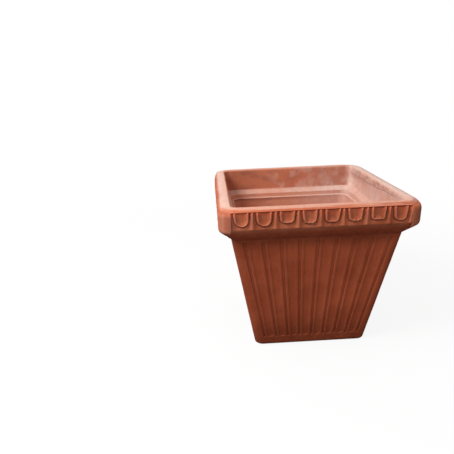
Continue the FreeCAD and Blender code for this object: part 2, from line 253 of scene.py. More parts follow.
def bloomAndEdgeHighlightAt(place, half, zone):
    if zone == "face":
        onLeft = limeAndEdgeHighlight["leftBlock"] * fade(place.x, *limeAndEdgeHighlight["leftBlockAcross"])
        onRight = limeAndEdgeHighlight["rightBlock"] * fade(place.x, *limeAndEdgeHighlight["rightBlockAcross"])
        onLeft *= fade(place.y, *limeAndEdgeHighlight["leftBlockDepth"])
        return onLeft + onRight * fade(place.y, *limeAndEdgeHighlight["rightBlockDepth"])
    if zone in ("top", "lip"):
        sideways = fade(abs(place.x), *limeAndEdgeHighlight["topAcross"]) * fade(place.y, *limeAndEdgeHighlight["topDepth"])
        level = 1 if zone == "top" else fade(half, *limeAndEdgeHighlight["lipHalf"])
        return level * (limeAndEdgeHighlight["top"] + (limeAndEdgeHighlight["topLeft"] if place.x < 0 else limeAndEdgeHighlight["topRight"]) * sideways)
    rightward = fade(place.x, *limeAndEdgeHighlight["rightward"])
    if zone == "mouth":
        onRight = fade(place.x, *limeAndEdgeHighlight["mouthRightAcross"])
        cornerFrom = mix(limeAndEdgeHighlight["backCornerFrom"], limeAndEdgeHighlight["rightCornerFrom"], onRight)
        amount = limeAndEdgeHighlight["mouth"] + limeAndEdgeHighlight["mouthAlong"] * fade(place.x, *limeAndEdgeHighlight["mouthAcross"])
        amount += limeAndEdgeHighlight["mouthRight"] * onRight
        amount += limeAndEdgeHighlight["mouthCorner"] * fade(towardsCorner(place, half), cornerFrom, 1.0) * rightward
        amount += smearsAt(place)
        return amount * mix(*limeAndEdgeHighlight["mouthLevels"], fade(place.z, *limeAndEdgeHighlight["mouthHeights"]))
    if zone == "ledge":
        inCorner = fade(towardsCorner(place, half), *limeAndEdgeHighlight["ledgeCornerReach"])
        return limeAndEdgeHighlight["ledge"] + limeAndEdgeHighlight["ledgeRight"] * rightward + limeAndEdgeHighlight["ledgeCorner"] * inCorner * rightward
    plain = limeAndEdgeHighlight["throat"] + limeAndEdgeHighlight["throatRight"] * rightward
    if zone == "throat":
        between = plain + limeAndEdgeHighlight["throatEnd"] * fade(place.x, *limeAndEdgeHighlight["throatEndAcross"])
        # along the throat's edge a painted highlight, mixed with lime
        edgeHighlight = mix(*limeAndEdgeHighlight["edgeHighlightLevels"], fade(place.x, *limeAndEdgeHighlight["edgeAcross"]))
        return mix(between, edgeHighlight, fade(half, *limeAndEdgeHighlight["edgeHalf"]))
    if isInnerSeam(zone, half):
        return plain
    if zone == "inner":
        return (limeAndEdgeHighlight["well"] + limeAndEdgeHighlight["wellRight"] * rightward) * fade(place.z, *limeAndEdgeHighlight["wellHeights"])
    return 0


def makeStations(flats, stripSteps, turns):
    # places across one side, from mitre to mitre: share of the flat, share of the strip, turn
    right = [(1, step / stripSteps, 0) for step in range(1, stripSteps + 1)]
    right += [(1, 1, math.radians(turn)) for turn in turns]
    left = [(-share, -strip, -turn) for share, strip, turn in reversed(right)]
    return left + [(share, 0, 0) for share in flats] + right


def faceRows(rows):
    # which way each row of a section faces: how much outward and how much up
    facings = []
    for number, (half, height, corner, flat, zone) in enumerate(rows):
        before, after = rows[number - 1], rows[(number + 1) % len(rows)]
        out, up = after[1] - before[1], before[0] - after[0]
        if zone == "seam":
            out, up = (1 if half > (before[0] + after[0]) / 2 else -1), 0
        length = math.hypot(out, up)
        facings.append((out / length, up / length))
    return facings


def skewInside(place, half, zone):
    if not isInside(zone, half):
        return 0
    depth = fade(place.z, *askew["insideTop"]) * fade(place.z, *askew["insideFoot"])
    return askew["inside"] * depth * fade(place.x, *askew["insideAcross"]) * fade(place.y, *askew["insideDepth"])


def shiftFoot(height, half, zone):
    if zone not in ("outer", "foot") or half <= askew["footFrom"]:
        return 0
    return askew["foot"] * fade(half, *askew["footReach"]) * max(0, 1 - height / askew["straightAbove"])


paints = ["inside", "bloomAndEdgeHighlight", "sootAndShade", "shadeRedTint", "seam"]   # what the clay reads from each point
mitreTurn = math.radians(44.9)                           # stations turned further lie on a mitre


def layGrid(rows, stations, press, quarter):
    # a grid rolled up into a closed section: rows go round it, stations go along the side; a row
    # has its half width, height, corner radius, half length of the flat, and zone
    bm = bmesh.new()
    bmesh.ops.create_grid(bm, x_segments=len(stations) - 1, y_segments=len(rows), size=1)
    bm.verts.ensure_lookup_table()
    inside, bloomAndEdgeHighlight, sootAndShade, shadeRedTint, seam = [bm.verts.layers.float.new(paint) for paint in paints]
    facings = faceRows(rows)
    spin = Matrix.Rotation(math.radians(90) * quarter, 3, "Z")
    for number, vertex in enumerate(bm.verts):
        row = rows[number // len(stations) % len(rows)]
        half, height, corner, flat, zone = row
        out, up = facings[number // len(stations) % len(rows)]
        share, strip, turn = stations[number % len(stations)]
        aside, outward = math.sin(turn), math.cos(turn)
        x = share * flat + strip * (half - corner - flat) + corner * aside
        place = spin @ Vector((x, -(half - corner + corner * outward), height))
        if zone == "mouth" and sides[quarter] == "right":
            place.z = alongCrack(height, place.y)
        place.x += skewInside(place, half, zone)
        lift, sideways = press(x, share, strip, row, place, quarter)
        place += spin @ Vector((lift * out * aside + sideways, -lift * out * outward, lift * up))
        place.x += shiftFoot(place.z, half, zone)
        vertex.co = place * mm
        vertex[inside] = 1 if isInside(zone, half) else 0
        vertex[bloomAndEdgeHighlight] = bloomAndEdgeHighlightAt(place, half, zone)
        vertex[sootAndShade] = sootAndShadeAt(place, half, zone)
        vertex[shadeRedTint] = shadeRedTintAt(place, half, zone)
        vertex[seam] = 1 if zone == "seam" or abs(turn) > mitreTurn else 0
    return bm


tiny = 0.00001                   # metres; points closer than this are one
sharpFrom = math.radians(62)     # faces that meet at a sharper turn keep their edge


def closeSkin(bm):
    bmesh.ops.remove_doubles(bm, verts=bm.verts[:], dist=tiny)
    ends = [edge for edge in bm.edges if edge.is_boundary]
    if ends:
        caps = bmesh.ops.holes_fill(bm, edges=ends, sides=0)["faces"]
        bmesh.ops.triangulate(bm, faces=caps)
    bmesh.ops.recalc_face_normals(bm, faces=bm.faces[:])


def markCreases(bm):
    # worn ridges with a painted highlight, and hollows with dirt and painted shade, read from how the surface
    # bends at each point, and level spots
    bm.normal_update()
    bend = bm.verts.layers.float.new("bend")
    dust = bm.verts.layers.float.new("dust")
    measured = []
    for vertex in bm.verts:
        vertex[dust] = max(0, vertex.normal.z)
        total = 0
        for edge in vertex.link_edges:
            step = vertex.co - edge.other_vert(vertex).co
            total += vertex.normal.dot(step) / max(step.length, tiny)
        measured.append(total / max(len(vertex.link_edges), 1))
    bm.verts.index_update()
    seam = bm.verts.layers.float.get("seam")
    for vertex in bm.verts:
        near = [measured[edge.other_vert(vertex).index] for edge in vertex.link_edges]
        vertex[bend] = 0 if vertex[seam] > 0.5 else 0.5 * measured[vertex.index] + 0.5 * sum(near) / len(near)
    # a seam's points also belong to its hidden end, so they take what their one inner neighbour has
    for vertex in [vertex for vertex in bm.verts if vertex[seam] > 0.5]:
        beside = [edge.other_vert(vertex) for edge in vertex.link_edges]
        inner = [other for other in beside if other[seam] < 0.5]
        vertex[bend] = inner[0][bend] if len(inner) == 1 else 0
        vertex[dust] = inner[0][dust] if len(inner) == 1 else vertex[dust]


def finishPiece(bm, name, clay):
    markCreases(bm)
    for edge in bm.edges:
        edge.smooth = edge.calc_face_angle(0) < sharpFrom
    for face in bm.faces:
        face.smooth = True
    mesh = bpy.data.meshes.new(name)
    bm.to_mesh(mesh)
    bm.free()
    mesh.materials.append(clay)
    piece = bpy.data.objects.new(name, mesh)
    bpy.context.scene.collection.objects.link(piece)
    return piece


def setOnPot(piece, node):
    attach(piece, "root")
    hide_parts(node)


clayTones = {
    "body": {"deep": (0.40, 0.077, 0.030), "warm": (0.505, 0.105, 0.0425), "dusty": (0.56, 0.175, 0.094)},
    "rim": {"deep": (0.40, 0.087, 0.036), "warm": (0.56, 0.152, 0.068), "dusty": (0.66, 0.29, 0.20)},
    "floor": {"deep": (0.27, 0.060, 0.030), "warm": (0.46, 0.13, 0.07), "dusty": (0.55, 0.28, 0.20)},
    "lining": (0.50, 0.150, 0.082), "warmLining": (0.56, 0.175, 0.083), "darkLining": (0.33, 0.10, 0.062),
    # the redder colour painted into shade
    "shadeRedTint": (0.58, 0.106, 0.042),
    "topDust": (0.68, 0.345, 0.250),
    # the pale colour of lime, also used for the painted highlight along the throat's edge
    "bloomAndEdgeHighlight": (0.76, 0.585, 0.51),
    # dark grime, also used for painted shade in hollows
    "grimeAndShade": (0.085, 0.020, 0.012),
    # the colour of soot, also used for painted shade
    "sootAndShade": (0.103, 0.0185, 0.0065),
}

clayMix = {
    "blotchSize": 62, "mottleSize": 11, "grainSize": 1.6, "streakSize": 16, "smearSize": 34, "speckSize": 2.6,
    "mottling": 0.35, "streaks": 0.22, "grain": 0.16, "specks": 0.55, "lining": 0.9, "smears": 0.6,
    # ridges worn and lit with a painted highlight; hollows dirty and darkened with painted shade
    "ridgeWearAndHighlight": 0.36, "ridgeBend": (0.03, 0.16),
    "hollowDirtAndShade": 0.6, "hollowDirtAndShadeInside": 0.25, "hollowBend": (-0.03, -0.18),
    "levelFrom": (0.955, 0.996),     # share of a point's facing that is upward
    "specular": 0.12, "roughness": (0.72, 0.9),
    "bump": 0.35, "bumpDepth": 0.6, "grainRelief": 0.6, "mottleRelief": 1.6,
}


def addNode(tree, kind, inputs, output=0, **settings):
    # a node for a material or the world; an input takes a plain value or another node's output
    node = tree.nodes.new("ShaderNode" + kind)
    for setting, value in settings.items():
        setattr(node, setting, value)
    for socket, value in inputs.items():
        if isinstance(value, bpy.types.NodeSocket):
            tree.links.new(value, node.inputs[socket])
        else:
            node.inputs[socket].default_value = value
    return node.outputs[output]


def makeClay(name, tones):
    clay = bpy.data.materials.new(name)
    clay.use_nodes = True
    tree = clay.node_tree
    shader = tree.nodes["Principled BSDF"]
    shader.inputs["Specular IOR Level"].default_value = clayMix["specular"]
    spot = tree.nodes.new("ShaderNodeTexCoord").outputs["Object"]

    def cloud(size, detail, stretch=(1, 1, 1), roughness=0.55, shift=(0, 0, 0)):
        # noise with features about size millimetres across, from 0 to 1
        place = addNode(tree, "Mapping", {"Vector": spot, "Scale": stretch, "Location": shift})
        form = {"Vector": place, "Scale": 1 / (size * mm), "Detail": detail, "Roughness": roughness}
        return addNode(tree, "TexNoise", form, "Fac")

    def spread(value, low, high, start=0.0, end=1.0):
        limits = {"Value": value, 1: low, 2: high, 3: start, 4: end}
        return addNode(tree, "MapRange", limits, "Result", interpolation_type="SMOOTHSTEP")

    def times(first, second):
        return addNode(tree, "Math", {0: first, 1: second}, operation="MULTIPLY")

    def blend(amount, under, over):
        under, over = [(*tone, 1) if isinstance(tone, tuple) else tone for tone in (under, over)]
        return addNode(tree, "Mix", {0: amount, 6: under, 7: over}, 2, data_type="RGBA")

    def painted(attribute):
        return addNode(tree, "Attribute", {}, "Fac", attribute_name=attribute)

    # the fired clay
    blotches = cloud(clayMix["blotchSize"], 3)
    mottling = cloud(clayMix["mottleSize"], 4, roughness=0.6)
    grain = cloud(clayMix["grainSize"], 3, roughness=0.7)
    streaks = cloud(clayMix["streakSize"], 3, stretch=(1, 1, 0.12), shift=(0.3, 0.1, 0))
    smears = cloud(clayMix["smearSize"], 4, stretch=(0.6, 0.6, 1.6), roughness=0.6, shift=(0.9, 0.4, 0))
    colour = blend(spread(blotches, 0.32, 0.68), tones["deep"], tones["warm"])
    colour = blend(times(spread(mottling, 0.45, 0.75), clayMix["mottling"]), colour, tones["warm"])
    colour = blend(times(spread(streaks, 0.52, 0.72), clayMix["streaks"]), colour, tones["dusty"])
    # a redder tint painted where shade falls, in the cove and under the lip
    colour = blend(painted("shadeRedTint"), colour, clayTones["shadeRedTint"])

    # the lining of the inside, dust on level spots, and lime, with a painted highlight along the throat's edge
    inside = painted("inside")
    lining = blend(spread(blotches, 0.42, 0.6), clayTones["warmLining"], clayTones["lining"])
    lining = blend(times(spread(smears, 0.5, 0.68), clayMix["smears"]), lining, clayTones["darkLining"])
    colour = blend(times(inside, clayMix["lining"]), colour, lining)
    patchy = spread(mottling, 0.25, 0.7, 0.8, 1)
    level = spread(painted("dust"), *clayMix["levelFrom"])
    colour = blend(times(level, patchy), colour, clayTones["topDust"])
    bloomAndEdgeHighlight = times(painted("bloomAndEdgeHighlight"), spread(mottling, 0.3, 0.65, 0.78, 1.08))
    colour = blend(times(bloomAndEdgeHighlight, spread(blotches, 0.3, 0.62, 0.7, 1)), colour, clayTones["bloomAndEdgeHighlight"])

    # worn ridges with a painted highlight, dirt and painted shade in hollows, grain, soot with painted shade,
    # and specks
    bend = painted("bend")
    ridgeWearAndHighlight = spread(bend, *clayMix["ridgeBend"])
    hollowDirtAndShade = spread(bend, *clayMix["hollowBend"])
    # ridges lighter from wear and a painted highlight; hollows darker from dirt and painted shade
    colour = blend(times(ridgeWearAndHighlight, clayMix["ridgeWearAndHighlight"]), colour, tones["dusty"])
    kept = spread(inside, 0, 1, clayMix["hollowDirtAndShade"], clayMix["hollowDirtAndShadeInside"])
    colour = blend(times(hollowDirtAndShade, kept), colour, clayTones["grimeAndShade"])
    colour = blend(spread(grain, 0.35, 0.8, 0.0, clayMix["grain"]), colour, tones["dusty"])
    # soot and stains, and painted shade under the rim, in the cove, in the crack and round the throat's edge
    sootAndShade = times(painted("sootAndShade"), spread(mottling, 0.3, 0.7, 0.8, 1.15))
    colour = blend(sootAndShade, colour, clayTones["sootAndShade"])
    specks = spread(cloud(clayMix["speckSize"], 1, shift=(0.7, 0, 0.2)), 0.70, 0.76)
    colour = blend(times(specks, clayMix["specks"]), colour, clayTones["grimeAndShade"])

    roughness = spread(mottling, 0.3, 0.7, *clayMix["roughness"])
    relief = {0: times(grain, clayMix["grainRelief"]), 1: times(mottling, clayMix["mottleRelief"])}
    relief = addNode(tree, "Math", relief, operation="ADD")
    bump = {"Height": relief, "Strength": clayMix["bump"], "Distance": clayMix["bumpDepth"] * mm}
    bump = addNode(tree, "Bump", bump, "Normal")
    for value, socket in ((colour, "Base Color"), (roughness, "Roughness"), (bump, "Normal")):
        tree.links.new(value, shader.inputs[socket])
    return clay


bodyClay = makeClay("reeded_body_clay", clayTones["body"])
rimClay = makeClay("moulded_rim_clay", clayTones["rim"])
floorClay = makeClay("well_floor_clay", clayTones["floor"])
print("clay mixed")

wall = {
    "lean": (pot["neckHalf"] - pot["footHalf"]) / pot["neck"],
    "pitches": 4,                        # flutes from the middle of a side to its last one
    "cornerStrip": 24.5, "cornerSteps": 9, "cornerTurns": [5, 10, 15, 20, 25, 30, 35, 40, 44, 45],
    # columns of the grid from a flute's middle half way to the next, as shares of the pitch
    "across": [0, 0.04, 0.07, 0.088, 0.1, 0.112, 0.13, 0.16, 0.2, 0.226, 0.238, 0.25, 0.262, 0.28,
               0.31, 0.36, 0.43, 0.5],
    # rows of the grid: under the foot, up the outside and down the inside
    "underside": [109, 116, 120.5], "undersideCorner": 17,
    "footEdge": [(123, 0.35), (124.8, 1.2), (126.1, 2.6)],
    "heights": ([4.6, 8, 12, 16, 18] + [19 + 0.8 * step for step in range(22)]
                + [37 + 4 * step for step in range(60)]),
    "throat": [(154.2, 276.2), (153.6, 275.5), (152.8, 275.1), (151.6, 274.8), (150.6, 274.6), (149.9, 274.1)],
    "wellHeights": [273.2, 272, 270, 264] + [256 - 13 * step for step in range(18)] + [22, 11],
    "wellWaves": 0.9, "wellWaveSize": 60, "wellFootCalm": (24, 60), "wellTopCalm": (276, 262),
    "throatWaves": 0.5, "throatWaveSize": 22, "throatCalm": (277, 275),
}

reeds = {
    "fluteReach": 0.105, "fluteZone": 0.2, "panelReach": 0.245,   # shares of the pitch, from a flute's middle
    "fluteDepth": 2.0, "fluteRound": 0.95, "fluteLonger": 1,
    "panelDepth": 0.9, "panelHollow": 0.55, "panelFoot": 24, "panelFootRound": 5.5,
    "scoop": 0.5, "scoopClimb": (54, 28), "endHeights": (275.5, 268), "calmHeights": (277, 262),
    "softness": 0.36, "fluteEdge": (-0.35, 1.9), "panelEdge": (-0.6, 1),
    "wander": 0.45, "wanderSize": 55, "wanderEnds": (1, 0.97),
    "fluteApart": 31, "sideApart": 200,                           # so that every reed wanders by itself
}


def wallRows():
    strip, outerCorner, innerCorner = wall["cornerStrip"], pot["bodyCorner"], pot["wellCorner"]
    foot, neck, throat, well = pot["footHalf"], pot["neckHalf"], pot["throatHalf"], pot["wellHalf"]
    rows = [(half, 0, wall["undersideCorner"], half - strip, "foot") for half in [well] + wall["underside"]]
    rows += [(half, height, outerCorner, half - strip, "foot") for half, height in wall["footEdge"]]
    for height in wall["heights"]:
        half = foot + wall["lean"] * height
        rows.append((half, height, outerCorner, half - strip, "outer"))
    rows.append((neck, pot["neck"], outerCorner, neck - strip, "seam"))
    rows.append((throat, pot["neck"], innerCorner, throat - strip, "seam"))
    rows += [(half, height, innerCorner, half - strip, "throat") for half, height in wall["throat"]]
    for height in wall["wellHeights"]:
        half = well + wall["lean"] * height
        rows.append((half, height, innerCorner, half - strip, "inner"))
    return rows


def roundedEnd(aside, beyond, half, corner):
    # distance outside (positive) or inside (negative) an upright strip with a rounded foot
    over, under = aside - (half - corner), corner - beyond
    if over > 0 and under > 0:
        return math.hypot(over, under) - corner
    return max(over, under) - corner


def softEdge(gap, edge):
    return fade(-gap, edge[0] * reeds["softness"], edge[1] * reeds["softness"])


def fluteDepth(away, climb, pitch):
    wide = reeds["fluteReach"] * pitch
    beyond = climb - reeds["panelFoot"] + reeds["fluteLonger"]
    gap = roundedEnd(away * pitch, beyond, wide, wide * reeds["fluteRound"])
    return reeds["fluteDepth"] * softEdge(gap, reeds["fluteEdge"])


def panelDepth(away, climb, pitch):
    # a panel is slightly hollow, and scooped out a little at its foot
    middle, wide = (0.5 - away) * pitch, (0.5 - reeds["panelReach"]) * pitch
    gap = roundedEnd(middle, climb - reeds["panelFoot"], wide, reeds["panelFootRound"])
    hollow = reeds["panelHollow"] * max(0, 1 - (middle / wide) ** 2)
    scoop = reeds["scoop"] * fade(climb, *reeds["scoopClimb"])
    return (reeds["panelDepth"] + scoop + hollow) * softEdge(gap, reeds["panelEdge"])


def pressWall(x, share, strip, row, place, quarter):
    # how far one point of a wall is lifted off its flat slab, and moved sideways
    half, height, corner, flat, zone = row
    if zone == "inner":
        calm = fade(height, *wall["wellFootCalm"]) * fade(height, *wall["wellTopCalm"])
        return calm * wall["wellWaves"] * ripple(*place, wall["wellWaveSize"], seeds["well"]), 0
    if zone == "throat":
        waves = wall["throatWaves"] * fade(height, *wall["throatCalm"])
        return waves * ripple(*place, wall["throatWaveSize"], seeds["throat"]), 0
    if zone == "foot":
        return 0, 0
    pitch = flat / wall["pitches"]
    spot = x / pitch
    flute = max(-wall["pitches"], min(wall["pitches"], round(spot)))
    away = abs(spot - flute)
    climb = height * math.hypot(1, wall["lean"])
    depth = 0
    if away < reeds["fluteZone"]:
        depth = fluteDepth(away, climb, pitch)
    elif abs(spot) < wall["pitches"]:
        depth = panelDepth(away, climb, pitch)
    calm = fade(height, *reeds["calmHeights"])
    own = flute * reeds["fluteApart"] + quarter * reeds["sideApart"]
    wander = reeds["wander"] * ripple(own, 0, height, reeds["wanderSize"], seeds["reeds"])
    sideways = wander * (1 - abs(strip)) * fade(abs(share), *reeds["wanderEnds"]) * calm
    return handMade(place) * calm - depth * fade(height, *reeds["endHeights"]), sideways


def makeWalls():
    flats = []
    for pitch in range(-wall["pitches"], wall["pitches"]):
        cell = wall["across"] + [1 - share for share in reversed(wall["across"][1:-1])]
        flats += [(pitch + share) / wall["pitches"] for share in cell]
    stations = makeStations(flats + [1], wall["cornerSteps"], wall["cornerTurns"])
    for quarter, side in enumerate(sides):
        bm = layGrid(wallRows(), stations, pressWall, quarter)
        closeSkin(bm)
        piece = finishPiece(bm, f"reeded_wall_{side}", bodyClay)
        setOnPot(piece, f"wall_{side}")
    print("walls pressed")


makeWalls()

rim = {
    "gridStep": 0.75, "flat": 163, "innerFlat": 156, "cornerSteps": 12,
    "cornerTurns": [1.5, 3, 4.5, 6, 7, 8, 9.5, 11, 14, 18, 23, 28, 33, 38, 42, 44.2, 45],
    "coveSteps": 12, "coveTop": (197.4, 299), "coveTopCorner": 25.4, "coveFlat": 144,
    "coveHollow": 0.3, "coveFacing": (-0.68, 0.73),
    "hem": [(198.5, 299.9), (199.3, 301.0), (199.7, 302.2), (199.9, 303.5)],
    "face": 305, "underLip": 343, "lipFrom": 338, "lipRound": 9, "lipCorner": 24,
    "lipTurns": [4.5, 9, 13.5, 18, 22.5, 26, 29, 31.5, 33.4, 34.6, 36, 38, 42, 47, 53, 60, 68, 77, 86],
    "top": [189, 187, 184, 181, 178, 176.3],
    "mouthRound": 3, "mouthRoundAt": (175, 343.6), "mouthTurns": [20, 42, 65, 88],
    "mouth": ([341 - 0.25 * step for step in range(8)] + [339 - 0.35 * step for step in range(12)]
              + [334.4, 332.5, 330, 325, 320, 315, 310, 305, 300, 296.5, 294]),
    "ledge": [(171.6, 292.8), (170.4, 291.3), (167, 289.0), (163, 286.8), (160, 285.3), (158.5, 284.4)],
    "ledgeFlat": 132, "throatStrip": 26,
    "throat": [(157.6, 283.6), (157.0, 282.4), (156.4, 280.8), (155.8, 279.4), (155.2, 278.2)],
}

# how the frieze is sunk between the blocks of the corners, and how the rim was pressed and has worn
wear = {
    "blockFrom": 175, "coveEnds": (0.5, 5), "coveEndHeights": (299, 288),
    "faceEnds": (0.5, 2.5), "faceEndHeights": (309, 301),
    "hemRecess": 2.8, "recess": 3.6, "recessHeights": (303, 313), "leastRecess": 0.1,
    "hemWear": 2.0, "hemWearHeights": (309, 299), "coveWearHeights": (284, 299),
    "underLip": 0.6, "underLipHeights": (339, 342),
    "lineAcross": (170, 60), "lineHeights": (341.6, 342.8),      # a fine line under the lip of the left block
    "calmHeights": (278, 288), "lipWaves": 0.5, "lipCalmFrom": 325, "mouthWaves": 1.1, "throatWaves": 0.3,
    "topWaves": 0.5, "topWaveSize": 55,
    "standBack": 0.31, "topStandBack": 0.26,                     # no bump leaves the pot's width or height
    "hem": 1.6, "hemAt": 300.8, "hemReach": 9, "hemOnBlock": 0.5,
    "cornerRound": 16, "cornerFrom": (150, 188),
    "farLeft": 3.4, "farLeftAcross": (306, 374), "farLeftHalf": (191, 198), "farLeftHeights": (277, 300),
    "crown": 1.1, "backCrown": 0.35, "backDepth": (120, 178), "crownAt": 181.5, "crownReach": 9.5,
    "rightEndCrown": 0.9, "rightEndAcross": (-80, 120), "rightEndDepth": (-150, -178),
    "rolledFrom": (333, 342.7), "rolledTo": 346.2, "rowAcross": (184, 172),
}

frieze = {
    "tongueReach": 20, "tongueHeight": 3.5, "outerSlope": (-0.9, 2.4), "flare": 0.8, "leastFlatTip": 0.2,
    "nearTip": (9, 1), "tears": 1.5, "tearSize": 4.4, "fineTears": 0.7, "fineTearSize": 2,
    "edge": 4.2, "edgeVaries": 0.25, "edgeVarySize": 11, "dish": 3.9, "dishReach": 9.0, "steepTip": 0.5,
    "groove": 1.3, "grooveFrom": (0.0, 1.0), "grooveTo": (4.6, 1.8),
    "dartHeight": 3.2, "dartTop": 3.6, "dartFoot": 9.0, "dartSpread": (340, 307), "dartHeights": (301, 310),
    "dartWander": 0.5, "dartWanderSize": 14, "footHeights": (303, 307),
    "endDart": 170.5, "endDartsFrom": 165, "endDartFoot": 3.6, "endDartLean": 3.5,
    "endDartHeights": (305, 341), "endDartSlope": 0.15,
}

# each tongue of the front: middle, tip's height, half width at the top and near the tip,
# roundness of the tip, lean of the tip, raggedness
frontTongues = [
    (-155.5, 313.4, 15.3, 12.8, 12.0, 1.6, 0.1),
    (-111.5, 313.0, 15.7, 13.0, 12.0, 0.6, 0.8),
    (-67, 317.3, 15.4, 13.0, 8.5, 0.0, 0.3),
    (-24, 314.3, 14.9, 12.6, 10.5, 0.8, 1.5),
    (20.4, 315.2, 15.7, 12.0, 7.5, -1.4, 0.9),
    (63.6, 315.3, 15.4, 11.8, 7.5, 0.6, 1.4),
    (109, 315.9, 14.8, 12.8, 5.5, -0.8, 0.4),
    (151.8, 312.4, 14.4, 10.8, 9.0, -0.2, 0.3),
]
frontDarts = [-134, -89, -45.6, -3, 41.5, 86.5, 130, frieze["endDart"]]

# the same for the other sides, drawn between limits
otherTongues = {
    "firstSeed": 40, "count": 8, "pitch": 43.9, "aside": 1.5, "tip": 314.3, "tipVaries": (-1.2, 1.8),
    "top": (14.5, 15.5), "low": (11.6, 13.2), "roundness": [6.0, 8.0, 10.0, 11.5], "lean": 1.2,
    "raggedness": [0.1, 0.3, 0.4, 1.1], "dartAside": 1,
}


def carveFrieze(quarter):
    # the front's own row, or a row of the same hand for another side
    if sides[quarter] == "front":
        return frontTongues, frontDarts
    hand = random.Random(otherTongues["firstSeed"] + quarter)

    def either(limit):
        return hand.uniform(-limit, limit)

    tongues = []
    for number in range(otherTongues["count"]):
        middle = (number - (otherTongues["count"] - 1) / 2) * otherTongues["pitch"]
        middle += either(otherTongues["aside"])
        tip = otherTongues["tip"] + hand.uniform(*otherTongues["tipVaries"])
        top, low = hand.uniform(*otherTongues["top"]), hand.uniform(*otherTongues["low"])
        roundness, lean = hand.choice(otherTongues["roundness"]), either(otherTongues["lean"])
        tongues.append((middle, tip, top, low, roundness, lean, hand.choice(otherTongues["raggedness"])))
    neighbours = zip(tongues, tongues[1:])
    darts = [(first[0] + second[0]) / 2 + either(otherTongues["dartAside"]) for first, second in neighbours]
    return tongues, darts


friezes = [carveFrieze(quarter) for quarter in range(len(sides))]


def tongueHeight(x, height, tongue):
    # a dished tongue with a thick edge and a torn tip, in a groove of its own
    middle, tip, top, low, roundness, lean, ragged = tongue
    share = min(max((height - tip) / (rim["underLip"] - tip), 0), 1)
    aside = abs(x - middle - lean * (1 - share))
    wide = mix(low, top, share ** frieze["flare"])
    gap = roundedEnd(aside, height - tip, wide, min(roundness, wide - frieze["leastFlatTip"]))
    above, full = frieze["nearTip"]
    nearTip = fade(height, tip + above, tip + full)
    torn = frieze["tears"] * ripple(x, 0, height, frieze["tearSize"], middle)
    torn += frieze["fineTears"] * ripple(x, 0, height, frieze["fineTearSize"], middle)
    gap += ragged * nearTip * torn
    edge = frieze["edge"] * (1 + frieze["edgeVaries"] * ripple(x, 0, height, frieze["edgeVarySize"], middle))
    body = frieze["tongueHeight"] * fade(-gap, *frieze["outerSlope"])
    reach = frieze["dishReach"] * mix(1, frieze["steepTip"], nearTip)
    inward = min(max((-gap - 0.5 * edge) / reach, 0), 1)
    hollow = frieze["dish"] * (1 - (1 - inward) ** 2) * fade(-gap, 0.5 * edge, edge)
    groove = frieze["groove"] * fade(gap, *frieze["grooveFrom"]) * fade(gap, *frieze["grooveTo"])
    return body - hollow - groove


def dartCrest(x, height, middle):
    # 1 on the crest of a dart, 0 at its sides, less beyond them
    atEnd = middle > frieze["endDartsFrom"]
    if atEnd:  # it leans and runs into the block of the corner
        middle += frieze["endDartLean"] * fade(height, *frieze["endDartHeights"])
    foot = frieze["endDartFoot"] if atEnd else frieze["dartFoot"]
    wide = mix(frieze["dartTop"], foot, fade(height, *frieze["dartSpread"]))
    aside = abs(x - middle - frieze["dartWander"] * ripple(0, 0, height, frieze["dartWanderSize"], middle))
    if atEnd and x > middle:
        aside *= frieze["endDartSlope"]
    return 1 - aside / wide


def friezeHeight(x, height, quarter):
    # how far the pattern stands out of the recess at one spot
    tongues, darts = friezes[quarter]
    raised = 0
    for tongue in tongues:
        if abs(x - tongue[0]) <= frieze["tongueReach"]:
            raised += tongueHeight(x, height, tongue)
    for middle in darts:
        crest = dartCrest(x, height, middle)
        if crest > 0:
            tall = frieze["dartHeight"] * fade(height, *frieze["dartHeights"])
            raised = max(raised, tall * fade(crest, 0, 1))
    return raised


def cornerWear(x, half, height, place):
    # how far the lip's corners lie inside its length, where they are rounded to a larger radius;
    # the far left corner is worn away further at its sides
    radius = wear["cornerRound"]
    out, up = max(half - pot["rimHalf"] + radius, 0), max(height - pot["top"] + radius, 0)
    rounding = max(math.hypot(out, up) - radius, 0) if min(out, up) > 0 else 0
    onCove = height <= wear["farLeftHeights"][1]
    outward = fade(height, *wear["farLeftHeights"]) if onCove else fade(half, *wear["farLeftHalf"])
    farLeft = wear["farLeft"] * fade(place.y - place.x, *wear["farLeftAcross"]) * outward
    return fade(abs(x), *wear["cornerFrom"]) * rounding + farLeft


def hemRounding(height, inRow):
    # how far the lower edge of the face is worn inside its sharper corner
    near = max(0, 1 - abs(height - wear["hemAt"]) / wear["hemReach"])
    return wear["hem"] * mix(wear["hemOnBlock"], 1, inRow) * near ** 2


def rolledOff(half, place):
    # the crown of the rim's top, which falls away to both edges
    crown = mix(wear["crown"], wear["backCrown"], fade(place.y, *wear["backDepth"]))
    atRightEnd = wear["rightEndCrown"] * fade(place.x, *wear["rightEndAcross"])
    crown += atRightEnd * fade(place.y, *wear["rightEndDepth"])
    return crown * min((half - wear["crownAt"]) / wear["crownReach"], 1) ** 2


def rolledLip(x, half, height, place):
    # the same outside, where it starts at the lip's lower edge, or lower on a corner block
    start = mix(*wear["rolledFrom"], fade(abs(x), *wear["rowAcross"]))
    return rolledOff(half, place) * fade(height, start, wear["rolledTo"])


def withinRow(x, reach):
    # 1 along the frieze, 0 on the blocks of the corners
    return fade(abs(x), wear["blockFrom"] + reach, wear["blockFrom"] - reach)


def pressCove(x, half, height, place, wavy):
    inRow = withinRow(x, mix(*wear["coveEnds"], fade(height, *wear["coveEndHeights"])))
    hem = (wear["hemRecess"] + wear["hemWear"]) * fade(height, *wear["coveWearHeights"]) * inRow
    return wavy - hem - hemRounding(height, inRow) - cornerWear(x, half, height, place)


